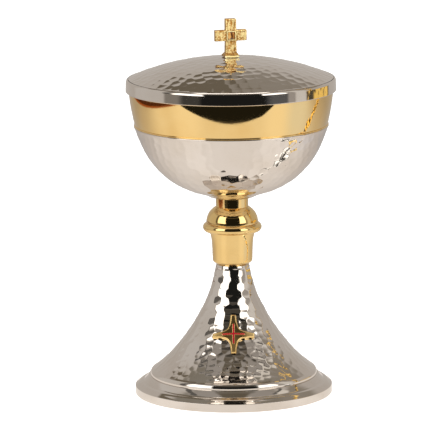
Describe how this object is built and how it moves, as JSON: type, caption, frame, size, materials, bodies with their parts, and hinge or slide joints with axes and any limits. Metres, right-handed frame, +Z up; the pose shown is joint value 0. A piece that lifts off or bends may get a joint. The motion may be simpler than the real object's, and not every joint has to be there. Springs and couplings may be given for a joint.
{
  "type": "ciborium",
  "caption": "Covered altar cup with a hammered flared foot, gilt knop stem, hammered bowl around a gilt liner, and a hammered lid with a small cross that lifts off.",
  "frame": {"origin": "centre of the plane that the foot rests on", "axes": "+Z up along the cup's axis, -Y to the front, where the emblem is on the foot"},
  "size_m": [0.1242, 0.1242, 0.224],
  "materials": {
    "silvered": "hammered, polished",
    "silvered_plain": "mirror polished",
    "gilt": "mirror polished gold plate",
    "cast_gilt": "as cast, brushed, gold plated",
    "steel": "plain",
    "enamel": "glossy red enamel",
    "stone": "polished amber stone"
  },
  "bodies": {
    "vessel": {"foot_flange": "silvered_plain", "foot_cone": "silvered", "emblem_plate": "gilt", "emblem_enamel": "enamel", "emblem_pin": "steel", "emblem_washer": "steel", "emblem_nut": "steel", "stem_seat_ring": "gilt", "knop_bell": "gilt", "knop_ring": "gilt", "knop_dome": "gilt", "stem_collar": "gilt", "tie_rod": "steel", "foot_washer": "steel", "foot_nut": "steel", "cup_boss": "steel", "cup_shell": "silvered", "cup_liner": "gilt"},
    "lid": {"lid_band": "silvered_plain", "lid_dome": "silvered", "lid_guide_ring": "silvered_plain", "finial_cross": "cast_gilt", "finial_stone": "stone", "finial_washer": "steel", "finial_nut": "steel"}
  },
  "joints": [
    {"name": "lid_lift", "type": "slide", "parent": "vessel", "child": "lid", "axis": [0, 0, 1], "range_m": [0, 0.12]}
  ]
}
